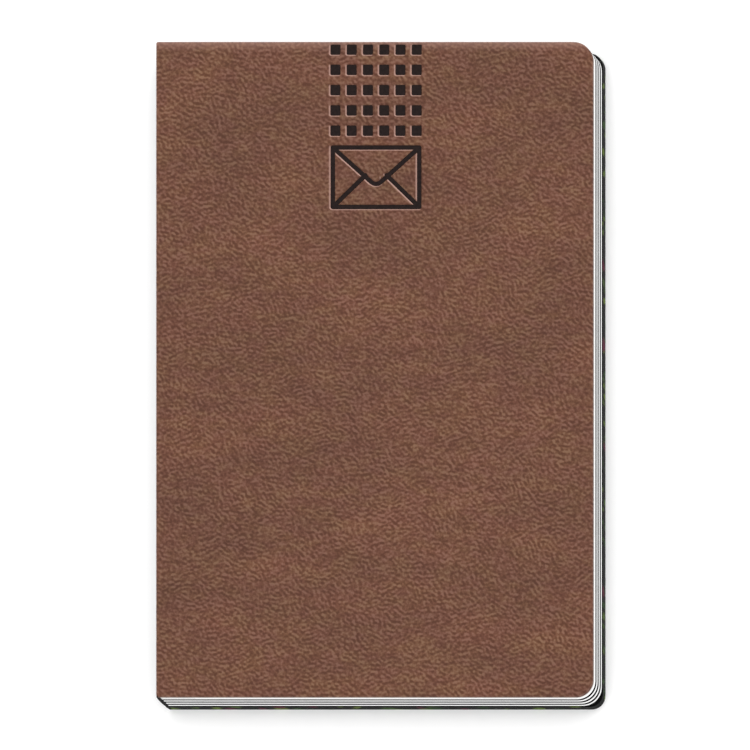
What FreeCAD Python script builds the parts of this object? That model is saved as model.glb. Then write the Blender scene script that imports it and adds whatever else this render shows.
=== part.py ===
"""Pocket stamp album: a debossed leatherette front cover, four white card leaves faced with black
paper and clear stamp strips, black linen guards that make the spine, and a printed back cover.

Millimetres. The album lies closed on its back cover: +X from the spine to the fore-edge, +Y to the
head, +Z out of the front cover. The origin is the middle of the underside.
"""
import FreeCAD, Part
import os
import Sketcher

LEAF_COUNT = 4
STRIPS_PER_PAGE = 5
SQUARE_COLUMNS = 6
SQUARE_ROWS = 5

SIZES = {
    "cover_width": (102.0, "covers, spine edge to fore-edge"),
    "cover_height": (153.0, "covers, tail to head"),
    "cover_corner": (4.4, "radius of the fore-edge corners"),
    "back_corner": (3.2, "radius of the back cover's fore-edge corners"),
    "spine_bulge": (0.45, "how far the rounded spine stands out past the covers"),
    "leather": (0.35, "leatherette thickness"),
    "front_board": (0.75, "front board where the leatherette is turned in under it"),
    "front_turn_in": (14.0, "width of the leatherette turned in under the front board"),
    "front_lining": (0.25, "white lining sheet inside the front cover"),
    "back_board": (1.39, "back board where the print is turned in over it"),
    "print_paper": (0.15, "printed paper round the back board"),
    "back_turn_in": (12.0, "width of the printed paper turned in over the back board"),
    "back_lining": (0.15, "white lining sheet inside the back cover"),
    "lining_margin": (2.5, "cover left bare round the back lining"),
    "leaf_trim": (0.1, "how far the leaves stand inside the covers' edges"),
    "card": (0.62, "leaf card"),
    "flyleaf": (0.35, "white sheet pasted on the first leaf"),
    "leaf_gap": (0.08, "air between neighbouring leaves and covers"),
    "face": (0.26, "black paper on a page side of a leaf"),
    "film": (0.13, "clear stamp strip, thickness"),
    "strip_space": (4.6, "page left bare between one strip and the next"),
    "page_margin": (7.2, "page left bare at the head and the tail"),
    "strip_margin": (3.0, "page left bare at the fore-edge"),
    "spine_wall": (0.6, "linen folded round the spine edge of a leaf"),
    "linen": (0.12, "single linen"),
    "linen_flap": (8.0, "linen pasted on the card beside the spine"),
    "linen_space": (1.5, "card between the linen and the strips"),
    "square_width": (2.3, "debossed square"),
    "square_height": (2.42, "debossed square"),
    "column_pitch": (3.8, "debossed squares, across"),
    "row_pitch": (4.74, "debossed squares, down"),
    "first_row": (1.91, "head edge to the middle of the first row of squares"),
    "stamp_offset": (0.5, "middle of the debossing, to the right of the covers' middle"),
    "envelope_width": (21.2, "debossed envelope"),
    "envelope_height": (14.9, "debossed envelope"),
    "envelope_top": (24.3, "head edge to the top of the envelope"),
    "envelope_line": (1.0, "width of the envelope's lines"),
    "flap_drop": (9.0, "top of the envelope to the point of its flap"),
    "fold_inset": (2.5, "middle of the envelope to where a lower fold meets the flap"),
    "fold_drop": (7.0, "top of the envelope to where a lower fold meets the flap"),
    "deboss": (0.22, "depth of the debossing"),
    "foil": (0.05, "dark foil at the bottom of the debossing"),
}

# Places across the album, as distances from the middle: left ones are measured towards the spine.
COVER_LEFT = "(Sizes.cover_width - Sizes.spine_bulge) / 2"
COVER_RIGHT = "(Sizes.cover_width + Sizes.spine_bulge) / 2"
SPINE_LEFT = COVER_RIGHT
CARD_LEFT = f"({COVER_LEFT} - Sizes.spine_wall)"
FLAP_END = f"({CARD_LEFT} - Sizes.linen_flap)"
LEAF_RIGHT = f"({COVER_RIGHT} - Sizes.leaf_trim)"
LEAF_HEIGHT = "(Sizes.cover_height - 2 * Sizes.leaf_trim)"
LEAF_CORNER = "(Sizes.cover_corner - Sizes.leaf_trim)"
STAMP_MIDDLE = "(Sizes.spine_bulge / 2 + Sizes.stamp_offset)"

# Levels, from the underside up.
BACK_BOARD_TOP = "(Sizes.back_board + 2 * Sizes.print_paper)"
BACK_TOP = f"({BACK_BOARD_TOP} + Sizes.back_lining)"
LEAF_SLOT = "(Sizes.card + 2 * Sizes.face + 2 * Sizes.film)"


def leaf_level(number):
    """The level of the underside of a leaf; leaf 1 is under the front cover."""
    below = LEAF_COUNT - number
    return f"({BACK_TOP} + Sizes.leaf_gap + {below} * ({LEAF_SLOT} + Sizes.leaf_gap))"


FIRST_LEAF_SLOT = "(Sizes.card + Sizes.face + Sizes.film + Sizes.flyleaf)"
LINING_LEVEL = f"({leaf_level(1)} + {FIRST_LEAF_SLOT} + Sizes.leaf_gap)"
FRONT_LEVEL = f"({LINING_LEVEL} + Sizes.front_lining)"
ALBUM_TOP = f"({FRONT_LEVEL} + Sizes.front_board + 2 * Sizes.leather)"

doc = FreeCAD.newDocument("stamp_album")
sheet = doc.addObject("Spreadsheet::Sheet", "Sizes")
for row, (alias, (value, note)) in enumerate(SIZES.items(), start=1):
    sheet.set(f"A{row}", note)
    sheet.set(f"B{row}", str(value))
    sheet.setAlias(f"B{row}", alias)
doc.recompute()

nodes = []


def node(item, label):
    """Name a finished sub-part; the label is also its file's name."""
    item.Label = label
    nodes.append(item)
    return item


def bind(item, **expressions):
    """Bind properties to the sheet; a double underscore stands for a dot."""
    for name, expression in expressions.items():
        item.setExpression(name.replace("__", "."), expression)
    return item


# ---------------------------------------------------------------- sketches and Part Design features


def sketch_at(body, name, level):
    """An empty sketch on the body's XY plane, lifted to a level."""
    plane = next(item for item in body.Origin.OriginFeatures if item.Role == "XY_Plane")
    sketch = body.newObject("Sketcher::SketchObject", name)
    sketch.AttachmentSupport = [(plane, "")]
    sketch.MapMode = "FlatFace"
    return bind(sketch, AttachmentOffset__Base__z=level)


def outline(body, name, level, left, right, height, radius):
    """A sheet's outline: square corners at the spine, rounded ones at the fore-edge."""
    sketch = sketch_at(body, name, level)
    vector = FreeCAD.Vector
    wide, tall, turn = 50.0, 75.0, 4.0
    axis = vector(0, 0, 1)
    low = Part.Circle(vector(wide - turn, turn - tall, 0), axis, turn)
    high = Part.Circle(vector(wide - turn, tall - turn, 0), axis, turn)
    quarter = 3.141592653589793 / 2
    tail = sketch.addGeometry(Part.LineSegment(vector(-wide, -tall, 0), vector(wide - turn, -tall, 0)))
    low_arc = sketch.addGeometry(Part.ArcOfCircle(low, -quarter, 0))
    fore = sketch.addGeometry(Part.LineSegment(vector(wide, turn - tall, 0), vector(wide, tall - turn, 0)))
    high_arc = sketch.addGeometry(Part.ArcOfCircle(high, 0, quarter))
    head = sketch.addGeometry(Part.LineSegment(vector(wide - turn, tall, 0), vector(-wide, tall, 0)))
    spine = sketch.addGeometry(Part.LineSegment(vector(-wide, tall, 0), vector(-wide, -tall, 0)))
    rules = [
        ("Tangent", tail, 2, low_arc, 1),
        ("Tangent", low_arc, 2, fore, 1),
        ("Tangent", fore, 2, high_arc, 1),
        ("Tangent", high_arc, 2, head, 1),
        ("Coincident", head, 2, spine, 1),
        ("Coincident", spine, 2, tail, 1),
        ("Horizontal", tail),
        ("Horizontal", head),
        ("Vertical", fore),
        ("Equal", low_arc, high_arc),
        ("Symmetric", tail, 1, head, 2, -1),
    ]
    for rule in rules:
        sketch.addConstraint(Sketcher.Constraint(*rule))
    driving = {
        "left": (("DistanceX", tail, 1, -1, 1, wide), left),
        "right": (("DistanceX", -1, 1, fore, 1, wide), right),
        "height": (("DistanceY", tail, 1, head, 2, 2 * tall), height),
        "radius": (("Radius", low_arc, turn), radius),
    }
    for label, (rule, expression) in driving.items():
        index = sketch.addConstraint(Sketcher.Constraint(*rule))
        sketch.renameConstraint(index, label)
        sketch.setExpression(f"Constraints.{label}", expression)
    return sketch


def rectangle(body, name, level, middle_x, middle_y, width, height):
    """A rectangle about a point, which lies to the right of and above the origin."""
    sketch = sketch_at(body, name, level)
    vector = FreeCAD.Vector
    corners = [vector(9, 9, 0), vector(11, 9, 0), vector(11, 12, 0), vector(9, 12, 0)]
    for start, end in zip(corners, corners[1:] + corners[:1]):
        sketch.addGeometry(Part.LineSegment(start, end))
    middle = sketch.addGeometry(Part.Point(vector(10, 10.5, 0)))
    for side in range(4):
        sketch.addConstraint(Sketcher.Constraint("Coincident", side, 2, (side + 1) % 4, 1))
        sketch.addConstraint(Sketcher.Constraint("Vertical" if side % 2 else "Horizontal", side))
    sketch.addConstraint(Sketcher.Constraint("Symmetric", 0, 1, 2, 1, middle, 1))
    driving = {
        "middle_x": (("DistanceX", -1, 1, middle, 1, 10.0), middle_x),
        "middle_y": (("DistanceY", -1, 1, middle, 1, 10.5), middle_y),
        "width": (("DistanceX", 0, 1, 0, 2, 2.0), width),
        "height": (("DistanceY", 1, 1, 1, 2, 3.0), height),
    }
    for label, (rule, expression) in driving.items():
        index = sketch.addConstraint(Sketcher.Constraint(*rule))
        sketch.renameConstraint(index, label)
        sketch.setExpression(f"Constraints.{label}", expression)
    return sketch


def pad(body, sketch, length):
    """Material from the sketch up."""
    feature = body.newObject("PartDesign::Pad", "Pad")
    feature.Profile = sketch
    return bind(feature, Length=length)


def pocket(body, sketch, length):
    """A cut from the sketch up."""
    feature = body.newObject("PartDesign::Pocket", "Pocket")
    feature.Profile = sketch
    feature.Reversed = True
    return bind(feature, Length=length)


def square_grid(body, square):
    """Repeat the first debossed square across the columns and down the rows."""
    origin = {item.Role: item for item in body.Origin.OriginFeatures}
    grid = body.newObject("PartDesign::MultiTransform", "Grid")
    across = body.newObject("PartDesign::LinearPattern", "Columns")
    across.Direction = (origin["X_Axis"], [""])
    across.Occurrences = SQUARE_COLUMNS
    bind(across, Length=f"{SQUARE_COLUMNS - 1} * Sizes.column_pitch")
    down = body.newObject("PartDesign::LinearPattern", "Rows")
    down.Direction = (origin["Y_Axis"], [""])
    down.Reversed = True
    down.Occurrences = SQUARE_ROWS
    bind(down, Length=f"{SQUARE_ROWS - 1} * Sizes.row_pitch")
    grid.Originals = [square]
    grid.Transformations = [across, down]
    body.Tip = grid


def first_square(body, level):
    """The square at the head, nearest the spine; the grid runs right and down from it."""
    half_grid = f"{(SQUARE_COLUMNS - 1) / 2} * Sizes.column_pitch"
    sketch = sketch_at(body, "Square", level)
    vector = FreeCAD.Vector
    corners = [vector(-9, 70, 0), vector(-7, 70, 0), vector(-7, 73, 0), vector(-9, 73, 0)]
    for start, end in zip(corners, corners[1:] + corners[:1]):
        sketch.addGeometry(Part.LineSegment(start, end))
    for side in range(4):
        sketch.addConstraint(Sketcher.Constraint("Coincident", side, 2, (side + 1) % 4, 1))
        sketch.addConstraint(Sketcher.Constraint("Vertical" if side % 2 else "Horizontal", side))
    low_edge = "Sizes.cover_height / 2 - Sizes.first_row - Sizes.square_height / 2"
    driving = {
        "left": (("DistanceX", 0, 1, -1, 1, 9.0), f"{half_grid} + Sizes.square_width / 2 - {STAMP_MIDDLE}"),
        "low": (("DistanceY", -1, 1, 0, 1, 70.0), low_edge),
        "width": (("DistanceX", 0, 1, 0, 2, 2.0), "Sizes.square_width"),
        "height": (("DistanceY", 1, 1, 1, 2, 3.0), "Sizes.square_height"),
    }
    for label, (rule, expression) in driving.items():
        index = sketch.addConstraint(Sketcher.Constraint(*rule))
        sketch.renameConstraint(index, label)
        sketch.setExpression(f"Constraints.{label}", expression)
    return sketch


def sheet_body(label, level, thickness, left=COVER_LEFT, right=COVER_RIGHT,
               height="Sizes.cover_height", radius="Sizes.cover_corner"):
    """A flat sheet with the album's outline."""
    body = doc.addObject("PartDesign::Body", label)
    pad(body, outline(body, "Outline", level, left, right, height, radius), thickness)
    return body


# ---------------------------------------------------------------- Part primitives


def block(name, left, level, width, height, thickness):
    """A box from a left edge (measured towards the spine), centred from tail to head."""
    box = doc.addObject("Part::Box", name)
    bind(box, Length=width, Width=height, Height=thickness)
    return bind(box, Placement__Base__x=f"-({left})", Placement__Base__y=f"-({height}) / 2",
                Placement__Base__z=level)


def make_spine_curve():
    """The cylinder whose side is the rounded spine: it passes through both covers' spine edges."""
    curve = doc.addObject("Part::Cylinder", "SpineCurve")
    radius = f"(Sizes.spine_bulge ^ 2 + ({ALBUM_TOP} / 2) ^ 2) / (2 * Sizes.spine_bulge)"
    curve.Placement = FreeCAD.Placement(
        FreeCAD.Vector(), FreeCAD.Rotation(FreeCAD.Vector(1, 0, 0), -90)
    )
    bind(curve, Radius=radius, Height="Sizes.cover_height")
    return bind(curve, Placement__Base__x=f"{radius} - {SPINE_LEFT}",
                Placement__Base__y="-Sizes.cover_height / 2", Placement__Base__z=f"{ALBUM_TOP} / 2")


def linen_guard(label, level, slot, height, flap_levels):
    """Black linen: a wall that is this layer's share of the spine, and flaps pasted on the card."""
    box = block(f"{label}_box", f"({SPINE_LEFT} + Sizes.spine_bulge)", level,
                "2 * Sizes.spine_bulge + Sizes.spine_wall", height, slot)
    wall = doc.addObject("Part::Common", f"{label}_wall")
    wall.Base = box
    wall.Tool = spine_curve
    pieces = [wall]
    for flap_level, thickness in flap_levels:
        flap = block(f"{label}_flap", CARD_LEFT, flap_level, "Sizes.linen_flap", height, thickness)
        pieces.append(flap)
    guard = doc.addObject("Part::MultiFuse", label)
    guard.Shapes = pieces
    return node(guard, label)


def stamp_strips(label, level):
    """The clear strips of one page, evenly spaced from tail to head."""
    width = f"{FLAP_END} - Sizes.linen_space + {LEAF_RIGHT} - Sizes.strip_margin"
    bare = f"2 * Sizes.page_margin + {STRIPS_PER_PAGE - 1} * Sizes.strip_space"
    height = f"({LEAF_HEIGHT} - ({bare})) / {STRIPS_PER_PAGE}"
    strips = []
    for number in range(STRIPS_PER_PAGE):
        strip = block(f"{label}_{number + 1}", f"{FLAP_END} - Sizes.linen_space", level, width,
                      height, "Sizes.film")
        steps = number - (STRIPS_PER_PAGE - 1) / 2
        bind(strip, Placement__Base__y=f"{steps} * ({height} + Sizes.strip_space) - {height} / 2")
        strips.append(strip)
    page = doc.addObject("Part::Compound", label)
    page.Links = strips
    return node(page, label)


# ---------------------------------------------------------------- back cover


def back_cover():
    """Board in printed paper, white lining sheet and the linen of the spine."""
    edge = "Sizes.print_paper"
    board = sheet_body("back_board", edge, "Sizes.back_board", CARD_LEFT, f"{COVER_RIGHT} - {edge}",
                       f"Sizes.cover_height - 2 * {edge}", f"Sizes.back_corner - {edge}")
    turn = "Sizes.back_turn_in"
    raised = outline(board, "Raised", f"{edge} + Sizes.back_board", f"{CARD_LEFT} - {turn}",
                     f"{COVER_RIGHT} - {turn}", f"Sizes.cover_height - 2 * {turn}", "Sizes.back_corner")
    pad(board, raised, edge)
    node(board, "back_board")

    blank = sheet_body("PrintBlank", "0 * Sizes.print_paper", BACK_BOARD_TOP, CARD_LEFT, COVER_RIGHT,
                       "Sizes.cover_height", "Sizes.back_corner")
    wrap = doc.addObject("Part::Cut", "back_print")
    wrap.Base = blank
    wrap.Tool = board
    node(wrap, "back_print")

    margin = "Sizes.lining_margin"
    lining = sheet_body("back_lining", BACK_BOARD_TOP, "Sizes.back_lining", FLAP_END,
                        f"{COVER_RIGHT} - {margin}", f"Sizes.cover_height - 2 * {margin}",
                        "Sizes.back_corner")
    node(lining, "back_lining")
    linen_guard("back_linen", "0 * Sizes.linen", BACK_TOP, "Sizes.cover_height",
                [(BACK_BOARD_TOP, "Sizes.back_lining")])


# ---------------------------------------------------------------- leaves


def leaf_sheet(label, level, thickness, left=FLAP_END):
    """A sheet with a leaf's outline, as wide as the page beside the linen unless told otherwise."""
    return sheet_body(label, level, thickness, left, LEAF_RIGHT, LEAF_HEIGHT, LEAF_CORNER)


def sheet_over_linen(label, level, thickness, guard):
    """A white sheet pasted over a linen flap, right up to the spine's wall."""
    sheet = doc.addObject("Part::Cut", label)
    sheet.Base = leaf_sheet(f"{label}_blank", level, thickness, CARD_LEFT)
    sheet.Tool = guard
    node(sheet, label)


def leaf(number):
    """A card leaf: linen guard, and black paper and clear strips on each page side.

    The first leaf has a white flyleaf on its outer side instead.
    """
    name = f"leaf_{number}"
    level = leaf_level(number)
    card_level = f"{level} + Sizes.film + Sizes.face"
    card_top = f"{card_level} + Sizes.card"
    card = sheet_body(f"{name}_card", card_level, "Sizes.card", CARD_LEFT, LEAF_RIGHT, LEAF_HEIGHT,
                      LEAF_CORNER)
    node(card, f"{name}_card")
    back = f"{name}_back_face"
    node(leaf_sheet(back, f"{level} + Sizes.film", "Sizes.face"), back)
    stamp_strips(f"{name}_back_strips", level)
    slot = FIRST_LEAF_SLOT if number == 1 else LEAF_SLOT
    flaps = [(f"{card_level} - Sizes.linen", "Sizes.linen"), (card_top, "Sizes.linen")]
    guard = linen_guard(f"{name}_linen", level, slot, LEAF_HEIGHT, flaps)
    if number == 1:
        sheet_over_linen("front_flyleaf", card_top, "Sizes.flyleaf", guard)
    else:
        front = f"{name}_front_face"
        node(leaf_sheet(front, card_top, "Sizes.face"), front)
        stamp_strips(f"{name}_front_strips", f"{card_top} + Sizes.face")


# ---------------------------------------------------------------- front cover


def envelope_bar(name, side, start_x, start_drop, end_x, end_drop, level, thickness):
    """A straight line of the envelope between two points; side is 1 to the right, -1 to the left."""
    line = "Sizes.envelope_line"
    run = f"(({end_x}) - ({start_x}))"
    fall = f"(({start_drop}) - ({end_drop}))"
    angle = f"atan2({fall}; {side} * {run})"
    bar = doc.addObject("Part::Box", name)
    bind(bar, Length=f"sqrt({run} ^ 2 + {fall} ^ 2)", Width=line, Height=thickness)
    shift_x = f"sin({angle}) * {line} / 2"
    shift_y = f"-cos({angle}) * {line} / 2"
    bind(bar, Placement__Rotation__Angle=angle,
         Placement__Base__x=f"{STAMP_MIDDLE} + {side} * ({start_x}) + {shift_x}",
         Placement__Base__y=f"Sizes.cover_height / 2 - Sizes.envelope_top - ({start_drop}) + {shift_y}",
         Placement__Base__z=level)
    return bar


def envelope(name, level, thickness):
    """The envelope's lines: a frame, a pointed flap and two lower folds."""
    line = "Sizes.envelope_line"
    corner_x = f"Sizes.envelope_width / 2 - {line} / 2"
    frame = doc.addObject("PartDesign::Body", f"{name}_frame")
    middle_y = "Sizes.cover_height / 2 - Sizes.envelope_top - Sizes.envelope_height / 2"
    pad(frame, rectangle(frame, "Outer", level, STAMP_MIDDLE, middle_y, "Sizes.envelope_width",
                         "Sizes.envelope_height"), thickness)
    pocket(frame, rectangle(frame, "Inner", level, STAMP_MIDDLE, middle_y,
                            f"Sizes.envelope_width - 2 * {line}",
                            f"Sizes.envelope_height - 2 * {line}"), thickness)
    pieces = [frame]
    for side in (-1, 1):
        pieces.append(envelope_bar(f"{name}_flap", side, corner_x, f"{line} / 2", f"0 * {line}",
                                   "Sizes.flap_drop", level, thickness))
        pieces.append(envelope_bar(f"{name}_fold", side, corner_x,
                                   f"Sizes.envelope_height - {line} / 2", "Sizes.fold_inset",
                                   "Sizes.fold_drop", level, thickness))
    point = doc.addObject("Part::Cylinder", f"{name}_point")
    bind(point, Radius=f"{line} / 2", Height=thickness, Placement__Base__x=STAMP_MIDDLE,
         Placement__Base__y="Sizes.cover_height / 2 - Sizes.envelope_top - Sizes.flap_drop",
         Placement__Base__z=level)
    lines = doc.addObject("Part::MultiFuse", name)
    lines.Shapes = pieces + [point]
    return lines


def front_cover():
    """Board in debossed leatherette, foil in the debossing, white lining sheet and linen joint."""
    edge = "Sizes.leather"
    turn = "Sizes.front_turn_in"
    turn_top = f"{FRONT_LEVEL} + {edge}"
    board = sheet_body("front_board", turn_top, "Sizes.front_board", f"{COVER_LEFT} - {edge}",
                       f"{COVER_RIGHT} - {edge}", f"Sizes.cover_height - 2 * {edge}",
                       f"Sizes.cover_corner - {edge}")
    raised = outline(board, "Raised", FRONT_LEVEL, f"{COVER_LEFT} - {turn}", f"{COVER_RIGHT} - {turn}",
                     f"Sizes.cover_height - 2 * {turn}", "Sizes.cover_corner")
    pad(board, raised, edge)
    node(board, "front_board")

    pit = f"{ALBUM_TOP} - Sizes.deboss"
    blank = sheet_body("LeatherBlank", FRONT_LEVEL, f"Sizes.front_board + 2 * {edge}")
    square_grid(blank, pocket(blank, first_square(blank, pit), "Sizes.deboss"))
    hollow = doc.addObject("Part::Cut", "LeatherHollow")
    hollow.Base = blank
    hollow.Tool = board
    leather = doc.addObject("Part::Cut", "front_leatherette")
    leather.Base = hollow
    leather.Tool = envelope("EnvelopePit", pit, "Sizes.deboss")
    node(leather, "front_leatherette")

    squares = doc.addObject("PartDesign::Body", "foil_squares")
    square_grid(squares, pad(squares, first_square(squares, pit), "Sizes.foil"))
    node(squares, "foil_squares")
    node(envelope("foil_envelope", pit, "Sizes.foil"), "foil_envelope")

    guard = linen_guard("front_linen", LINING_LEVEL, "Sizes.front_lining", LEAF_HEIGHT,
                        [(f"{FRONT_LEVEL} - Sizes.linen", "Sizes.linen")])
    sheet_over_linen("front_lining", LINING_LEVEL, "Sizes.front_lining", guard)


def save_parts():
    """Check every object and write each sub-part's solid to its own file."""
    broken = [item.Name for item in doc.Objects if {"Invalid", "Error"} & set(item.State)]
    if broken:
        raise RuntimeError(f"objects that failed: {broken}")
    os.makedirs("parts", exist_ok=True)
    for item in nodes:
        if item.Shape.isNull() or not item.Shape.isValid() or not item.Shape.Solids:
            raise RuntimeError(f"{item.Label} has no sound solid")
        item.Shape.exportStep(f"parts/{item.Label}.step")
    print(f"{len(nodes)} sub-parts written")


spine_curve = make_spine_curve()
back_cover()
for leaf_number in range(1, LEAF_COUNT + 1):
    leaf(leaf_number)
front_cover()
doc.recompute()
save_parts()
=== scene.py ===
"""Pocket stamp album, lying closed on a pale floor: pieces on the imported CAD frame, in metres."""
import math
import bpy
import numpy as np
from mathutils import Matrix, Vector


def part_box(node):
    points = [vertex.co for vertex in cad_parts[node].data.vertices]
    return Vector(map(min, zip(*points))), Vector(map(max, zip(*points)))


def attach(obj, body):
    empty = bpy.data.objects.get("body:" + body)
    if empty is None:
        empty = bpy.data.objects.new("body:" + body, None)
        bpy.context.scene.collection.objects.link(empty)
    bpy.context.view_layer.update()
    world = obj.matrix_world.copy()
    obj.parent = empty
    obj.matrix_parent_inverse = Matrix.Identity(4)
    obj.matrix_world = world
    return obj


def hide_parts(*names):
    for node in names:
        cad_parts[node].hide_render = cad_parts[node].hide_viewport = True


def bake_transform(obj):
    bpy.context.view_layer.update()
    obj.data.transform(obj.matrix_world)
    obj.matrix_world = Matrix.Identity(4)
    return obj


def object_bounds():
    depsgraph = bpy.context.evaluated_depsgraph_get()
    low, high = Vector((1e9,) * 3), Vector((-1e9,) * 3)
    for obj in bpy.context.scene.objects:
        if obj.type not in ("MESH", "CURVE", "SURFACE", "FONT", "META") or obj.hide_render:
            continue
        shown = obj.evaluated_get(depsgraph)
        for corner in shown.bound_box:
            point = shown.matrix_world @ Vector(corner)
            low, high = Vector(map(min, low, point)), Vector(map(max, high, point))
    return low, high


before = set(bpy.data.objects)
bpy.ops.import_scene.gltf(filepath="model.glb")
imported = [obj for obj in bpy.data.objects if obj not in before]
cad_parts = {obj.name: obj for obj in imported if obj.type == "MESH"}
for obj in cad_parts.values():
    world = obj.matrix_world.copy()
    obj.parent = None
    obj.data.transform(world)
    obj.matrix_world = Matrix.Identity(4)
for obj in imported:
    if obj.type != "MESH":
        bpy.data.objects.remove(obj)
cad_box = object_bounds()

MM = 0.001

# The view: the covers face the camera squarely, and the sight lines lean so that the fore-edge and
# the tail show beside them.
LEAN_RIGHT = 0.346
LEAN_DOWN = 0.356
VIEW_WIDTH = 175.3 * MM
VIEW_CENTRE = (0.55 * MM, -1.55 * MM)
CAMERA_HEIGHT = 6.0
SENSOR_WIDTH = 36
CLIP_START = 0.1
CLIP_END = 20

# The stage
FLOOR_REACH = 4
STUDIO_LIGHT = 1.25

# Debossing: the wall slopes down to the outline from a little outside it
SQUARE_COLUMNS = 6
SQUARE_ROWS = 5
SQUARE_SIZE = (2.3 * MM, 2.42 * MM)
SQUARE_CORNER = 0.3 * MM
ENVELOPE_LINE = 1.0 * MM
FLAP_DROP = 9.0 * MM
FLAP_TIP_RADIUS = 1.7 * MM
FOLD_INSET = 2.5 * MM
FOLD_DROP = 7.0 * MM
DEBOSS_DEPTH = 0.22 * MM
DEBOSS_WALL = 0.28 * MM
FOIL = 0.05 * MM
OUTLINE_PASSES = 3

# Grid of the leatherette: lines at these millimetres from an edge, fine ones across the debossing,
# coarse ones elsewhere, rounded to the micrometre
EDGE_LINES = (0, 0.03, 0.07, 0.12, 0.18, 0.25, 0.33, 0.42, 0.6, 0.9, 1.4, 2.0, 2.7, 3.5, 4.4)
FINE_STEP = 0.12 * MM
COARSE_STEP = 1.5 * MM
LEAST_STEP = 0.025 * MM
LINE_DECIMALS = 6

# Front cover: the board's padding rolls off towards the edge, and the leatherette turns round it
COVER_CORNER = 4.4 * MM
SPINE_CORNER = 0.5 * MM
TURNED_EDGE = 0.42 * MM
UNDER_EDGE = 0.14 * MM
UNDER_BEND = 0.3 * UNDER_EDGE
ROLL_WIDTH = 3.2 * MM
ROLL_FALL = 0.2 * MM
ROLL_POWER = 1.3
TURN_IN = 14.0 * MM

# Leatherette: the grain's scales are for coordinates in millimetres
GRAIN_CELL = 0.55
GRAIN_WAVES = 1.68
GRAIN_DIRECTION = 1.2
GRAIN_DRIFT = 2.8
GRAIN_LENGTH = 0.5
PEBBLES = 1.3
PEBBLE_SHARE = 0.9
DARK_BROWN = (0.073, 0.0205, 0.0078)
BROWN = (0.109, 0.0362, 0.0185)
PALE_BROWN = (0.158, 0.068, 0.043)
TAN_TINT = (1.05, 1.2, 0.98)
# Pale brown of the painted highlights on the leatherette
HIGHLIGHT_BROWN = (0.5, 0.3, 0.25)

# Painted highlights on the leatherette, a paler brown along the head edge and on the debossing's walls
# that face the key light; the rim's reach is in wall widths out from the outline
HEAD_HIGHLIGHT_REACH = 2.6 * MM
HEAD_HIGHLIGHT = 0.3
HEAD_HIGHLIGHT_POWER = 1.5
RIM_HIGHLIGHT = 1.0
RIM_START = -0.1
RIM_END = 1.2
SLOPE_STEP = 0.02 * MM

# Clear strips
STRIPS_PER_PAGE = 5
STRIP_SPACE = 4.6 * MM
FILM = 0.03 * MM
FILM_GAP = 0.01 * MM
WELD = 1.1 * MM
WELD_LINES = (0, WELD, 1.3 * WELD)
CROWN_START = 3 * WELD
CROWN_RISE = 2.5 * WELD
CROWN_LINES = 9
TAIL_LIFT = 0.55
HEAD_LIFT = 0.45
FILM_GREY = (0.028, 0.029, 0.031, 1)

# Papers: the fibres' noise, the tones it mixes, the surface, and the strength and depth of the bump
PAPERS = {
    "leaf_card": dict(scale=2.4, detail=4.0, spread=0.65, dark=(0.85, 0.85, 0.845),
                      pale=(0.89, 0.89, 0.885), roughness=0.72, gloss=0.3, relief=(0.12, 0.03 * MM)),
    "lining_paper": dict(scale=1.3, detail=5.0, spread=0.7, dark=(0.68, 0.675, 0.66),
                         pale=(0.75, 0.745, 0.73), roughness=0.85, gloss=0.25, relief=(0.2, 0.04 * MM)),
    "page_paper": dict(scale=1.7, detail=4.0, spread=0.7, dark=(0.003, 0.003, 0.0032),
                       pale=(0.007, 0.007, 0.0075), roughness=0.85, gloss=0.1, relief=(0.2, 0.04 * MM)),
    "grey_board": dict(scale=1.8, detail=4.0, spread=0.7, dark=(0.3, 0.27, 0.22),
                       pale=(0.45, 0.41, 0.35), roughness=0.9, gloss=0.5, relief=None),
}

# Print of the back cover, in millimetres
PRINT_BEND = (4, 4, 0)
PRINT_GROUND = (0.0012, 0.0014, 0.0012)
LEAF_TURN = (0, 0, 0.6)
LEAF_STRETCH = (0.45, 1.0, 1.0)
LEAF_SCALE = 0.55
LEAF_GREENS = ((0.0015, 0.006, 0.002), (0.015, 0.045, 0.008), (0.09, 0.13, 0.018))
BLOOM_SCALE = 0.15
BLOOM_RED = (0.07, 0.006, 0.022)

# Spine cloth
CLOTH_LIFT = 0.03 * MM
CLOTH_FOLD = 0.5 * MM
CLOTH_ROWS = 5
CLOTH_COLUMNS = 40
WEAVE_SCALE = 0.62

# Bodies from the underside up, and the linen of each
LAYERS = ["back_cover", "leaf_4", "leaf_3", "leaf_2", "leaf_1", "front_cover"]
LINENS = ["back_linen", "leaf_4_linen", "leaf_3_linen", "leaf_2_linen", "leaf_1_linen", "front_linen"]


# ---------------------------------------------------------------- node helpers


def material(name):
    """A new material and its shader."""
    mat = bpy.data.materials.new(name)
    mat.use_nodes = True
    return mat, mat.node_tree, mat.node_tree.nodes["Principled BSDF"]


def add(tree, kind, **values):
    """A shader node with properties by name and inputs by label."""
    item = tree.nodes.new(kind)
    for key, value in values.items():
        if hasattr(item, key):
            setattr(item, key, value)
        else:
            item.inputs[key.replace("_", " ")].default_value = value
    return item


def millimetres(tree, stretch=(1, 1, 1)):
    """Object coordinates in millimetres, stretched along X, Y and Z."""
    source = add(tree, "ShaderNodeTexCoord")
    mapping = add(tree, "ShaderNodeMapping")
    mapping.inputs["Scale"].default_value = [1000 * value for value in stretch]
    tree.links.new(source.outputs["Object"], mapping.inputs["Vector"])
    return mapping.outputs["Vector"]


def noise(tree, vector, scale, detail=2.0, roughness=0.5):
    """A noise texture on a vector."""
    item = add(tree, "ShaderNodeTexNoise", Scale=scale, Detail=detail, Roughness=roughness)
    tree.links.new(vector, item.inputs["Vector"])
    return item


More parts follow.
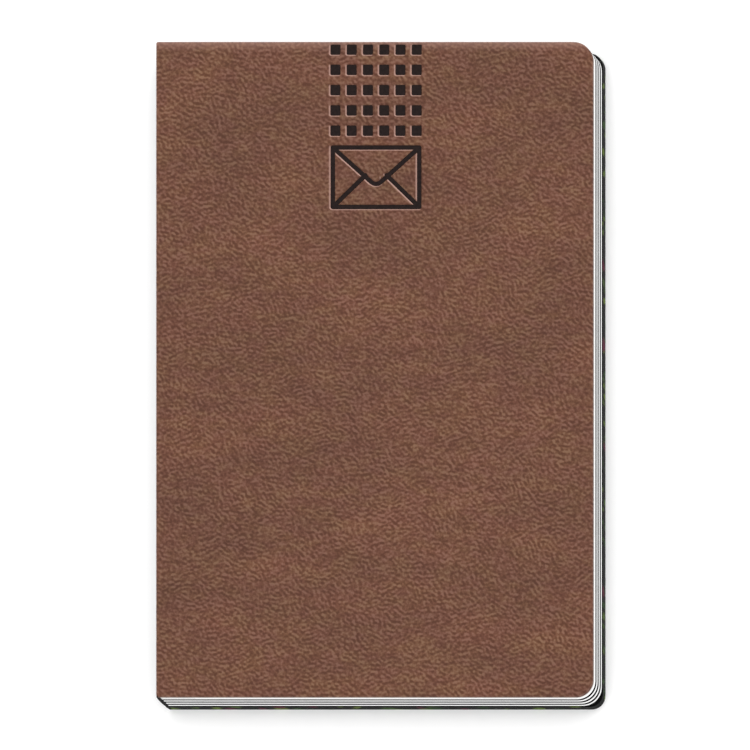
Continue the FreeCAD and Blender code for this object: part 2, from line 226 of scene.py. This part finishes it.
def maths(tree, operation, first, second):
    """A math node on two numbers or sockets."""
    item = add(tree, "ShaderNodeMath", operation=operation)
    for socket, value in zip(item.inputs, (first, second)):
        if isinstance(value, (int, float)):
            socket.default_value = value
        else:
            tree.links.new(value, socket)
    return item.outputs[0]


def ramp(tree, value, stops):
    """A colour ramp; each stop is a position and a grey value or a colour."""
    item = add(tree, "ShaderNodeValToRGB")
    elements = item.color_ramp.elements
    while len(elements) < len(stops):
        elements.new(0.5)
    for element, (position, colour) in zip(elements, stops):
        if isinstance(colour, (int, float)):
            colour = (colour, colour, colour)
        element.position = position
        element.color = (*colour, 1)
    tree.links.new(value, item.inputs["Fac"])
    return item.outputs["Color"]


def mix(tree, factor, first, second, blend="MIX"):
    """A colour mix of colours or sockets."""
    item = add(tree, "ShaderNodeMix", data_type="RGBA", blend_type=blend)
    for socket, value in ((item.inputs[0], factor), (item.inputs[6], first), (item.inputs[7], second)):
        if isinstance(value, (int, float)):
            socket.default_value = value
        elif isinstance(value, tuple):
            socket.default_value = (*value, 1)
        else:
            tree.links.new(value, socket)
    return item.outputs[2]


def bump(tree, shader, height, strength, distance):
    """Let a height roughen the shader's normal."""
    item = add(tree, "ShaderNodeBump", Strength=strength, Distance=distance)
    tree.links.new(height, item.inputs["Height"])
    tree.links.new(item.outputs["Normal"], shader.inputs["Normal"])


# ---------------------------------------------------------------- materials


def grain(tree, flat):
    """Height of the grain: short wrinkles that drift in direction, fine pebbles between."""
    drift = noise(tree, flat, 0.09, detail=2.0, roughness=0.6)
    direction = maths(tree, "MULTIPLY", maths(tree, "SUBTRACT", drift.outputs["Fac"], 0.5), GRAIN_DRIFT)
    direction = maths(tree, "ADD", direction, GRAIN_DIRECTION)
    wrinkles = add(tree, "ShaderNodeTexGabor", Scale=GRAIN_CELL, Frequency=GRAIN_WAVES,
                   Anisotropy=GRAIN_LENGTH)
    tree.links.new(flat, wrinkles.inputs["Vector"])
    tree.links.new(direction, wrinkles.inputs["Orientation"])
    strength = noise(tree, flat, 0.11, detail=2.0, roughness=0.5)
    depth = ramp(tree, strength.outputs["Fac"], [(0.3, 0.6), (0.7, 1.05)])
    relief = maths(tree, "MULTIPLY", maths(tree, "SUBTRACT", wrinkles.outputs["Value"], 0.5), depth)
    pebbles = noise(tree, flat, PEBBLES, detail=1.0, roughness=0.6)
    pebbled = maths(tree, "MULTIPLY", maths(tree, "SUBTRACT", pebbles.outputs["Fac"], 0.5), PEBBLE_SHARE)
    return maths(tree, "ADD", maths(tree, "ADD", relief, 0.5), pebbled)


def grain_colour(tree, height):
    """Browns that follow the grain, in broad cloudy patches, lightened by a painted highlight along the
    head edge and on the debossing's walls.
    """
    cloud = noise(tree, millimetres(tree, (0.5, 1.3, 1.0)), 0.07, detail=5.0, roughness=0.65)
    patches = noise(tree, millimetres(tree, (0.7, 1.2, 1.0)), 0.25, detail=3.0, roughness=0.6)
    tone = ramp(tree, height, [(0.3, DARK_BROWN), (0.5, BROWN), (0.7, PALE_BROWN)])
    tan = ramp(tree, patches.outputs["Fac"], [(0.4, 0.0), (0.65, 1.0)])
    warm = mix(tree, 1.0, tone, TAN_TINT, "MULTIPLY")
    toned = mix(tree, tan, tone, warm)
    light = ramp(tree, cloud.outputs["Fac"], [(0.3, 0.84), (0.5, 1.0), (0.7, 1.18)])
    toned = mix(tree, 1.0, toned, light, "MULTIPLY")
    # Painted highlight: a paler brown where the light catches the head edge and the debossing's walls
    painted_highlight = add(tree, "ShaderNodeAttribute", attribute_name="painted_highlight")
    return mix(tree, painted_highlight.outputs["Fac"], toned, HIGHLIGHT_BROWN)


def leatherette():
    """Brown calf-grained leatherette."""
    mat, tree, shader = material("leatherette")
    height = grain(tree, millimetres(tree))
    tree.links.new(grain_colour(tree, height), shader.inputs["Base Color"])
    shine = ramp(tree, height, [(0.2, 0.66), (0.8, 0.54)])
    tree.links.new(shine, shader.inputs["Roughness"])
    shader.inputs["Specular IOR Level"].default_value = 0.3
    bump(tree, shader, height, 0.7, 0.1 * MM)
    return mat


def foil():
    """Dark stamping foil, slightly grained by the leatherette below it."""
    mat, tree, shader = material("stamping_foil")
    flat = millimetres(tree)
    grain = noise(tree, flat, 1.6, detail=3.0, roughness=0.6)
    tone = ramp(tree, grain.outputs["Fac"], [(0.3, (0.006, 0.0026, 0.0022)),
                                             (0.7, (0.015, 0.0075, 0.0065))])
    tree.links.new(tone, shader.inputs["Base Color"])
    shine = ramp(tree, grain.outputs["Fac"], [(0.3, 0.5), (0.7, 0.36)])
    tree.links.new(shine, shader.inputs["Roughness"])
    shader.inputs["Specular IOR Level"].default_value = 0.1
    bump(tree, shader, grain.outputs["Fac"], 0.35, 0.06 * MM)
    return mat


def paper(name, scale, detail, spread, dark, pale, roughness, gloss, relief):
    """Matt paper, card or board with faint fibres."""
    mat, tree, shader = material(name)
    fibres = noise(tree, millimetres(tree), scale, detail=detail, roughness=spread)
    tone = ramp(tree, fibres.outputs["Fac"], [(0.3, dark), (0.7, pale)])
    tree.links.new(tone, shader.inputs["Base Color"])
    shader.inputs["Roughness"].default_value = roughness
    shader.inputs["Specular IOR Level"].default_value = gloss
    if relief:
        bump(tree, shader, fibres.outputs["Fac"], *relief)
    return mat


def book_cloth():
    """Black linen book cloth with a fine plain weave."""
    mat, tree, shader = material("black_linen")
    flat = millimetres(tree)
    threads = []
    for direction in ("X", "Y", "Z"):
        wave = add(tree, "ShaderNodeTexWave", wave_type="BANDS", bands_direction=direction,
                   Scale=WEAVE_SCALE, Distortion=0.6, Detail=1.0)
        tree.links.new(flat, wave.inputs["Vector"])
        threads.append(wave.outputs["Fac"])
    weave = maths(tree, "MAXIMUM", threads[1], maths(tree, "MAXIMUM", threads[2], threads[0]))
    slub = noise(tree, flat, 0.8, detail=3.0)
    height = maths(tree, "ADD", weave, maths(tree, "MULTIPLY", slub.outputs["Fac"], 0.5))
    tone = ramp(tree, height, [(0.3, 0.0015), (1.0, (0.012, 0.012, 0.0125))])
    tree.links.new(tone, shader.inputs["Base Color"])
    shader.inputs["Roughness"].default_value = 0.8
    shader.inputs["Specular IOR Level"].default_value = 0.08
    bump(tree, shader, height, 0.5, 0.1 * MM)
    return mat


def printed_paper():
    """Dark print of leaves and flowers: green leaves and a few wine-red blooms on near-black."""
    mat, tree, shader = material("dark_print")
    flat = millimetres(tree)
    bend = noise(tree, flat, 0.2, detail=2.0)
    shifted = add(tree, "ShaderNodeVectorMath", operation="MULTIPLY_ADD")
    tree.links.new(bend.outputs["Color"], shifted.inputs[0])
    shifted.inputs[1].default_value = PRINT_BEND
    tree.links.new(flat, shifted.inputs[2])
    leaf_space = add(tree, "ShaderNodeMapping")
    leaf_space.inputs["Rotation"].default_value = LEAF_TURN
    leaf_space.inputs["Scale"].default_value = LEAF_STRETCH
    tree.links.new(shifted.outputs[0], leaf_space.inputs["Vector"])
    leaves = add(tree, "ShaderNodeTexVoronoi", feature="F1", Scale=LEAF_SCALE, Randomness=0.9)
    tree.links.new(leaf_space.outputs[0], leaves.inputs["Vector"])
    inside = ramp(tree, leaves.outputs["Distance"], [(0.3, 1.0), (0.5, 0.0)])
    greens = ramp(tree, leaves.outputs["Color"], list(zip((0.3, 0.5, 0.75), LEAF_GREENS)))
    ground = mix(tree, inside, PRINT_GROUND, greens)
    blooms = add(tree, "ShaderNodeTexVoronoi", feature="F1", Scale=BLOOM_SCALE, Randomness=1.0)
    tree.links.new(shifted.outputs[0], blooms.inputs["Vector"])
    bloom = ramp(tree, blooms.outputs["Distance"], [(0.15, 1.0), (0.26, 0.0)])
    tree.links.new(mix(tree, bloom, ground, BLOOM_RED), shader.inputs["Base Color"])
    shader.inputs["Roughness"].default_value = 0.55
    shader.inputs["Specular IOR Level"].default_value = 0.12
    return mat


def strip_film():
    """Clear film, drawn as a half see-through dark veil with a sharp sheen."""
    mat, _, shader = material("strip_film")
    shader.inputs["Base Color"].default_value = FILM_GREY
    shader.inputs["Roughness"].default_value = 0.12
    shader.inputs["Alpha"].default_value = 0.5
    shader.inputs["Specular IOR Level"].default_value = 0.6
    return mat


def floor_white():
    """Plain pale floor."""
    mat, tree, shader = material("floor")
    flat = millimetres(tree)
    tone = noise(tree, flat, 0.004, detail=1.0)
    pale = ramp(tree, tone.outputs["Fac"], [(0.0, 0.96), (1.0, 0.98)])
    tree.links.new(pale, shader.inputs["Base Color"])
    shader.inputs["Roughness"].default_value = 0.9
    shader.inputs["Specular IOR Level"].default_value = 0.1
    return mat


# ---------------------------------------------------------------- mesh helpers


def mesh_object(name, verts, faces, mat, smooth=True):
    """A new object from vertices and faces, in one material."""
    mesh = bpy.data.meshes.new(name)
    mesh.from_pydata([list(map(float, vert)) for vert in verts], [], [list(map(int, f)) for f in faces])
    mesh.validate()
    mesh.materials.append(mat)
    mesh.polygons.foreach_set("use_smooth", [smooth] * len(mesh.polygons))
    item = bpy.data.objects.new(name, mesh)
    bpy.context.scene.collection.objects.link(item)
    return item


def grid_quads(index):
    """The four corners of each cell in a grid of vertex numbers."""
    return np.stack([index[:-1, :-1], index[:-1, 1:], index[1:, 1:], index[1:, :-1]], axis=-1)


def thicken(verts, faces, drop):
    """Close a sheet into a thin solid, its other side lower by the drop.

    A sheet that faces up takes a positive drop, and one that faces down a negative one.
    """
    count = len(verts)
    lower = [(x, y, z - drop) for x, y, z in verts]
    under = [tuple(corner + count for corner in reversed(face)) for face in faces]
    edges = {(a, b) for face in faces for a, b in zip(face, face[1:] + face[:1])}
    rim = sorted((b, a, a + count, b + count) for a, b in edges if (b, a) not in edges)
    return verts + lower, faces + under + rim


# ---------------------------------------------------------------- debossing


def segment_distance(x, y, start, end):
    """Distance from points to a straight line between two points."""
    run, rise = end[0] - start[0], end[1] - start[1]
    along = ((x - start[0]) * run + (y - start[1]) * rise) / (run * run + rise * rise)
    along = np.clip(along, 0, 1)
    return np.hypot(x - start[0] - along * run, y - start[1] - along * rise)


def box_distance(x, y, half_x, half_y, corner):
    """Signed distance to a rounded rectangle about the origin."""
    over_x = np.abs(x) - half_x + corner
    over_y = np.abs(y) - half_y + corner
    outside = np.hypot(np.maximum(over_x, 0), np.maximum(over_y, 0))
    return outside + np.minimum(np.maximum(over_x, over_y), 0) - corner


def squares_distance(x, y):
    """Signed distance to the nearest debossed square."""
    low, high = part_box("foil_squares")
    pitch_x = (high[0] - low[0] - SQUARE_SIZE[0]) / (SQUARE_COLUMNS - 1)
    pitch_y = (high[1] - low[1] - SQUARE_SIZE[1]) / (SQUARE_ROWS - 1)
    first = (low[0] + SQUARE_SIZE[0] / 2, low[1] + SQUARE_SIZE[1] / 2)
    column = np.clip(np.round((x - first[0]) / pitch_x), 0, SQUARE_COLUMNS - 1)
    row = np.clip(np.round((y - first[1]) / pitch_y), 0, SQUARE_ROWS - 1)
    return box_distance(x - first[0] - column * pitch_x, y - first[1] - row * pitch_y,
                        SQUARE_SIZE[0] / 2, SQUARE_SIZE[1] / 2, SQUARE_CORNER)


def envelope_distance(x, y):
    """Signed distance to the envelope's lines: frame, flap with a rounded tip, lower folds."""
    low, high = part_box("foil_envelope")
    middle, top = (low[0] + high[0]) / 2, high[1]
    half_x, half_y = (high[0] - low[0]) / 2, (high[1] - low[1]) / 2
    x = np.abs(x - middle)
    y = y - top
    half_line = ENVELOPE_LINE / 2
    frame_line = np.abs(box_distance(x, y + half_y, half_x - half_line, half_y - half_line, 0.0))
    corner = (half_x - half_line, -half_line)
    slope = math.atan2(FLAP_DROP - half_line, corner[0])
    centre_y = -FLAP_DROP + FLAP_TIP_RADIUS
    tangent = (FLAP_TIP_RADIUS * math.sin(slope), centre_y - FLAP_TIP_RADIUS * math.cos(slope))
    flap = segment_distance(x, y, corner, tangent)
    tip = np.abs(np.hypot(x, y - centre_y) - FLAP_TIP_RADIUS)
    flap = np.where((x < tangent[0]) & (y < centre_y), np.minimum(flap, tip), flap)
    fold = segment_distance(x, y, (corner[0], -2 * half_y + half_line), (FOLD_INSET, -FOLD_DROP))
    return np.minimum(np.minimum(frame_line, flap), fold) - half_line


def press_distance(x, y):
    """Signed distance to the outline of the whole debossing."""
    return np.minimum(squares_distance(x, y), envelope_distance(x, y))


def deboss(x, y):
    """How far the surface is pressed in at each point."""
    inside = np.clip(1 - press_distance(x, y) / DEBOSS_WALL, 0, 1)
    return DEBOSS_DEPTH * inside * inside * (3 - 2 * inside)


def painted_rim_highlight(x, y):
    """How much painted highlight the debossing's sloping wall gets: most on its tail and spine sides, the
    walls that face the key light.
    """
    distance = press_distance(x, y)
    across = press_distance(x + SLOPE_STEP, y) - distance
    along = press_distance(x, y + SLOPE_STEP) - distance
    facing = np.clip(-(across + along) / (math.sqrt(2) * SLOPE_STEP), 0, 1)
    wall = np.clip(1 - np.abs(distance / DEBOSS_WALL - 0.5), 0, 1)
    on_wall = (distance > RIM_START * DEBOSS_WALL) & (distance < RIM_END * DEBOSS_WALL)
    return RIM_HIGHLIGHT * facing * wall * on_wall


def painted_head_highlight(y, head):
    """How much painted highlight the leatherette gets along the head edge, where the light catches its
    roll.
    """
    return HEAD_HIGHLIGHT * np.clip(1 - (head - y) / HEAD_HIGHLIGHT_REACH, 0, 1) ** HEAD_HIGHLIGHT_POWER


# ---------------------------------------------------------------- front cover


def graded(start, end, fine_start, fine_end):
    """Grid lines: close at both edges and between the fine limits, wide elsewhere."""
    edge = np.array(EDGE_LINES) * MM
    lines = [start + edge, end - edge]
    lines.append(np.arange(max(start, fine_start), min(end, fine_end), FINE_STEP))
    lines.append(np.arange(start + edge[-1], end - edge[-1], COARSE_STEP))
    lines = np.unique(np.round(np.concatenate(lines), LINE_DECIMALS))
    keep = [lines[0]]
    for value in lines[1:]:
        if value - keep[-1] > LEAST_STEP:
            keep.append(value)
    keep[-1] = end
    return np.array(keep)


def round_corner(x, y, centre_x, centre_y, side_x, side_y, radius):
    """Fold the square corner beyond a centre into a quarter of a disc."""
    a = side_x * (x - centre_x) / radius
    b = side_y * (y - centre_y) / radius
    inside = (a > 0) & (b > 0)
    a, b = np.clip(a, 0, 1), np.clip(b, 0, 1)
    x = np.where(inside, centre_x + side_x * radius * a * np.sqrt(1 - b * b / 2), x)
    y = np.where(inside, centre_y + side_y * radius * b * np.sqrt(1 - a * a / 2), y)
    return x, y


def cover_corners(low, high):
    """Each corner of the cover: its place, the way it points, and its radius."""
    return [(edge_x, edge_y, side_x, side_y, radius)
            for edge_x, side_x, radius in ((high[0], 1, COVER_CORNER), (low[0], -1, SPINE_CORNER))
            for edge_y, side_y in ((low[1], -1), (high[1], 1))]


def edge_distance(x, y, low, high):
    """Distance from each point inwards from the cover's outline."""
    depth = np.minimum(np.minimum(x - low[0], high[0] - x), np.minimum(y - low[1], high[1] - y))
    for edge_x, edge_y, side_x, side_y, radius in cover_corners(low, high):
        from_x = side_x * (x - edge_x) + radius
        from_y = side_y * (y - edge_y) + radius
        depth = np.where((from_x > 0) & (from_y > 0), radius - np.hypot(from_x, from_y), depth)
    return np.maximum(depth, 0)


def roll(x, y, low, high):
    """How far the padded board falls away towards the cover's outline."""
    reach = np.clip(1 - edge_distance(x, y, low, high) / ROLL_WIDTH, 0, 1)
    return ROLL_FALL * reach ** ROLL_POWER


def leather_top(low, high):
    """Grid of the pressed top sheet, rounded over the board's edges."""
    squares_low, squares_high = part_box("foil_squares")
    envelope_low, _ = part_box("foil_envelope")
    lines_x = graded(low[0], high[0], squares_low[0] - MM, squares_high[0] + MM)
    lines_y = graded(low[1], high[1], envelope_low[1] - MM, high[1])
    x, y = np.meshgrid(lines_x, lines_y)
    for edge_x, edge_y, side_x, side_y, radius in cover_corners(low, high):
        x, y = round_corner(x, y, edge_x - side_x * radius, edge_y - side_y * radius, side_x, side_y,
                            radius)
    depth = np.minimum(edge_distance(x, y, low, high), TURNED_EDGE)
    fall = TURNED_EDGE - np.sqrt(TURNED_EDGE ** 2 - (TURNED_EDGE - depth) ** 2)
    z = high[2] - roll(x, y, low, high) - fall - deboss(x, y) * np.clip(depth / TURNED_EDGE, 0, 1)
    return x, y, z


def turn_in(verts, faces, rim, low, high):
    """Carry the sheet on from its rim, down the board's edge and in under it."""
    previous = rim
    for depth_in, rise in ((0, UNDER_EDGE), (UNDER_BEND, UNDER_BEND), (UNDER_EDGE, 0), (TURN_IN, 0)):
        ring = []
        for corner in rim:
            px, py, _ = verts[corner]
            px = min(max(px, low[0] + depth_in), high[0] - depth_in)
            py = min(max(py, low[1] + depth_in), high[1] - depth_in)
            ring.append(len(verts))
            verts.append([px, py, low[2] + rise])
        for step in range(len(rim)):
            after = (step + 1) % len(rim)
            faces.append([previous[after], previous[step], ring[step], ring[after]])
        previous = ring


def leather_cover(mat):
    """The leatherette: a pressed top sheet, rounded over the board's edges and turned in below."""
    low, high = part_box("front_leatherette")
    x, y, z = leather_top(low, high)
    verts = np.stack([x, y, z], axis=-1).reshape(-1, 3).tolist()
    index = np.arange(x.size).reshape(x.shape)
    faces = grid_quads(index).reshape(-1, 4).tolist()
    rim = list(index[0, :-1]) + list(index[:-1, -1]) + list(index[-1, :0:-1]) + list(index[:0:-1, 0])
    turn_in(verts, faces, rim, low, high)
    cover = mesh_object("front_leather_cover", verts, faces, mat)
    # Painted highlight on the debossing's walls and along the head edge, kept as a point attribute that
    # the leatherette's colour reads
    painted_highlight = np.maximum(painted_rim_highlight(x, y), painted_head_highlight(y, high[1])).ravel()
    values = np.zeros(len(cover.data.vertices))
    values[:painted_highlight.size] = painted_highlight
    cover.data.attributes.new("painted_highlight", "FLOAT", "POINT").data.foreach_set("value", values)
    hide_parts("front_leatherette")
    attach(cover, "front_cover")


def kept_cells_round(kept):
    """For each grid point, how many of the cells round it are kept."""
    rows, columns = kept.shape
    count = np.zeros((rows + 1, columns + 1), int)
    for shift_y, shift_x in ((0, 0), (0, 1), (1, 0), (1, 1)):
        count[shift_y:shift_y + rows, shift_x:shift_x + columns] += kept
    return count


def draw_to_outline(x, y, border, distance):
    """Move the border's grid points onto the zero line of a distance function."""
    half = FINE_STEP / 2
    step = 0.1 * half
    for _ in range(OUTLINE_PASSES):
        away = np.clip(distance(x, y), -half, half)
        slope_x = (distance(x + step, y) - distance(x - step, y)) / (2 * step)
        slope_y = (distance(x, y + step) - distance(x, y - step)) / (2 * step)
        x = np.where(border, x - away * slope_x, x)
        y = np.where(border, y - away * slope_y, y)
    return x, y


def foil_sheet(cad_name, distance, mat):
    """Foil in the debossing, its edge drawn along the zero line of a distance function."""
    low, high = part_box(cad_name)
    cover_low, cover_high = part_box("front_leatherette")
    x, y = np.meshgrid(np.arange(low[0] - FINE_STEP, high[0] + 2 * FINE_STEP, FINE_STEP),
                       np.arange(low[1] - FINE_STEP, high[1] + 2 * FINE_STEP, FINE_STEP))
    half = FINE_STEP / 2
    kept = distance(x[:-1, :-1] + half, y[:-1, :-1] + half) < 0
    cells = kept_cells_round(kept)
    x, y = draw_to_outline(x, y, (cells > 0) & (cells < 4), distance)
    z = cover_high[2] - roll(x, y, cover_low, cover_high) - DEBOSS_DEPTH + FOIL
    used = cells > 0
    index = np.full(x.shape, -1)
    index[used] = np.arange(np.count_nonzero(used))
    verts = list(zip(x[used].tolist(), y[used].tolist(), z[used].tolist()))
    faces = [tuple(face) for face in grid_quads(index)[kept].tolist()]
    foil_mesh = mesh_object(f"{cad_name}_sheet", *thicken(verts, faces, FOIL), mat)
    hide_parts(cad_name)
    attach(foil_mesh, "front_cover")


# ---------------------------------------------------------------- clear strips


def page_strips(mat):
    """Clear strips on every page: welded along three sides, open and a little lifted at the head."""
    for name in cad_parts:
        if not name.endswith("strips"):
            continue
        low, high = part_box(name)
        height = (high[1] - low[1] + STRIP_SPACE) / STRIPS_PER_PAGE - STRIP_SPACE
        side = -1 if name.endswith("back_strips") else 1
        base = high[2] if side < 0 else low[2]
        verts, faces = [], []
        for number in range(STRIPS_PER_PAGE):
            start = low[1] + number * (height + STRIP_SPACE)
            strip = strip_sheet(low[0], high[0], start, start + height, base, side, high[2] - low[2])
            faces += [tuple(corner + len(verts) for corner in face) for face in strip[1]]
            verts += strip[0]
        strips = mesh_object(f"{name}_film", verts, faces, mat)
        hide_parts(name)
        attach(strips, name.split("_back_")[0].split("_front_")[0])


def strip_sheet(left, right, tail, head, base, side, room):
    """One strip: flat weld bands at the tail and both ends, crowned between them, open at the head."""
    width, height = right - left, head - tail
    welds = np.array(WELD_LINES)
    across = np.concatenate([welds, np.linspace(CROWN_START, width - CROWN_START, CROWN_LINES),
                             width - welds[::-1]])
    along = np.concatenate([welds, np.linspace(CROWN_START, height, CROWN_LINES)])
    x, y = np.meshgrid(across, along)
    ends = np.clip((np.minimum(x, width - x) - WELD) / CROWN_RISE, 0, 1)
    open_side = np.clip((y - WELD) / CROWN_RISE, 0, 1)
    crown = (TAIL_LIFT + HEAD_LIFT * y / height) * np.sqrt(ends * open_side)
    z = base + side * (FILM_GAP + FILM + (room - FILM - FILM_GAP) * crown)
    verts = np.stack([left + x, tail + y, z], axis=-1).reshape(-1, 3).tolist()
    faces = grid_quads(np.arange(x.size).reshape(x.shape)).reshape(-1, 4).tolist()
    faces = [tuple(face) if side > 0 else tuple(reversed(face)) for face in faces]
    return thicken([tuple(vert) for vert in verts], faces, side * FILM)


# ---------------------------------------------------------------- spine cloth


def spine_profile():
    """The rounded spine, as a function that gives its place across the album at a height."""
    low, high = cad_box
    half = high[2] / 2
    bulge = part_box("front_leatherette")[0][0] - low[0]
    radius = (bulge ** 2 + half ** 2) / (2 * bulge)
    middle = low[0] + radius - CLOTH_LIFT
    return lambda height: middle - math.sqrt(radius ** 2 - (height - half) ** 2)


def layer_levels():
    """The lowest and highest level of each layer's share of the spine."""
    return [(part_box(name)[0][2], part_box(name)[1][2]) for name in LINENS]


def cloth_levels(levels, number):
    """Where the cloth over one fold starts and ends, and the limits of its straight band."""
    middles = [(lowest + highest) / 2 for lowest, highest in levels]
    fold = (levels[number][1] + levels[number + 1][0]) / 2
    start = middles[number] if number else levels[0][0]
    end = levels[-1][1] if number + 2 == len(levels) else middles[number + 1]
    return start, fold - CLOTH_FOLD / 2, fold, min(fold + CLOTH_FOLD / 2, end), end


def spine_cloth(mat):
    """Black cloth over each fold of the spine, from the middle of one layer to the next.

    Across a fold it is one straight band.
    """
    levels = layer_levels()
    profile = spine_profile()
    low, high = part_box("leaf_2_linen")
    steps = np.linspace(low[1], high[1], CLOTH_COLUMNS)
    for number, (lower, upper) in enumerate(zip(LAYERS, LAYERS[1:])):
        start, fold_low, fold, fold_high, end = cloth_levels(levels, number)
        heights = list(np.linspace(start, fold_low, CLOTH_ROWS))
        heights += list(np.linspace(fold_high, end, CLOTH_ROWS)) if fold_high < end else [fold_high]
        verts = [(profile(level), along, level) for level in heights for along in steps]
        index = np.arange(len(verts)).reshape(len(heights), CLOTH_COLUMNS)
        outwards = grid_quads(index)[..., [0, 3, 2, 1]]
        cloth = mesh_object(f"spine_cloth_{number + 1}", verts, outwards.reshape(-1, 4).tolist(), mat)
        place = profile(fold)
        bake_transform(cloth)


# ---------------------------------------------------------------- stage


def floor():
    """A plain floor at the level of the album's underside."""
    reach = FLOOR_REACH
    verts = [(-reach, -reach, 0), (reach, -reach, 0), (reach, reach, 0), (-reach, reach, 0)]
    plane = mesh_object("floor", verts, [(0, 1, 2, 3)], floor_white(), smooth=False)
    plane.location.z = cad_box[0][2]


def camera():
    """A long lens square to the covers, on a rig that leans its sight lines to the lower right."""
    data = bpy.data.cameras.new("camera")
    data.sensor_width = SENSOR_WIDTH
    sight_length = CAMERA_HEIGHT * math.hypot(1, LEAN_RIGHT, LEAN_DOWN)
    data.lens = data.sensor_width * sight_length / VIEW_WIDTH
    data.clip_start = CLIP_START
    data.clip_end = CLIP_END
    view = bpy.data.objects.new("camera", data)
    rig = bpy.data.objects.new("camera_rig", None)
    for item in (view, rig):
        bpy.context.scene.collection.objects.link(item)
    lean = Matrix(((1, 0, LEAN_RIGHT, 0), (0, 1, -LEAN_DOWN, 0), (0, 0, 1, 0), (0, 0, 0, 1)))
    top = cad_box[1][2]
    lean.translation = Vector((VIEW_CENTRE[0], VIEW_CENTRE[1], top)) + CAMERA_HEIGHT * lean.col[2].to_3d()
    view.parent = rig
    view.matrix_parent_inverse = lean
    bpy.context.scene.camera = view


def area_light(name, place, width, height, power):
    """A soft rectangle of light that faces the album."""
    data = bpy.data.lights.new(name, "AREA")
    data.shape = "RECTANGLE"
    data.size = width
    data.size_y = height
    data.energy = power
    light = bpy.data.objects.new(name, data)
    bpy.context.scene.collection.objects.link(light)
    light.location = place
    light.rotation_euler = (-Vector(place)).to_track_quat("-Z", "Y").to_euler()
    light.visible_camera = False


def lights():
    """An even white studio, a soft key light and a low panel beyond the head."""
    world = bpy.data.worlds.new("studio")
    bpy.context.scene.world = world
    world.use_nodes = True
    background = world.node_tree.nodes["Background"]
    background.inputs["Color"].default_value = (1, 1, 1, 1)
    background.inputs["Strength"].default_value = STUDIO_LIGHT
    area_light("key", place=(0.7, 0.9, 1.6), width=1.0, height=1.0, power=4)
    area_light("back_panel", place=(0.1, 1.8, 1.0), width=2.2, height=0.8, power=3)
    bpy.context.scene.view_settings.view_transform = "Standard"


def paint(endings, mat):
    """Give a material to the carried-over CAD nodes whose names end this way."""
    for name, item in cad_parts.items():
        if name.endswith(endings):
            item.data.materials.clear()
            item.data.materials.append(mat)


leather_mat = leatherette()
foil_mat = foil()
linen_mat = book_cloth()
film_mat = strip_film()
floor()
camera()
lights()
leather_cover(leather_mat)
foil_sheet("foil_squares", squares_distance, foil_mat)
foil_sheet("foil_envelope", envelope_distance, foil_mat)
page_strips(film_mat)
spine_cloth(linen_mat)
paint("card", paper("leaf_card", **PAPERS["leaf_card"]))
paint(("lining", "flyleaf"), paper("lining_paper", **PAPERS["lining_paper"]))
paint("linen", linen_mat)
paint("face", paper("page_paper", **PAPERS["page_paper"]))
paint("board", paper("grey_board", **PAPERS["grey_board"]))
paint("back_print", printed_paper())
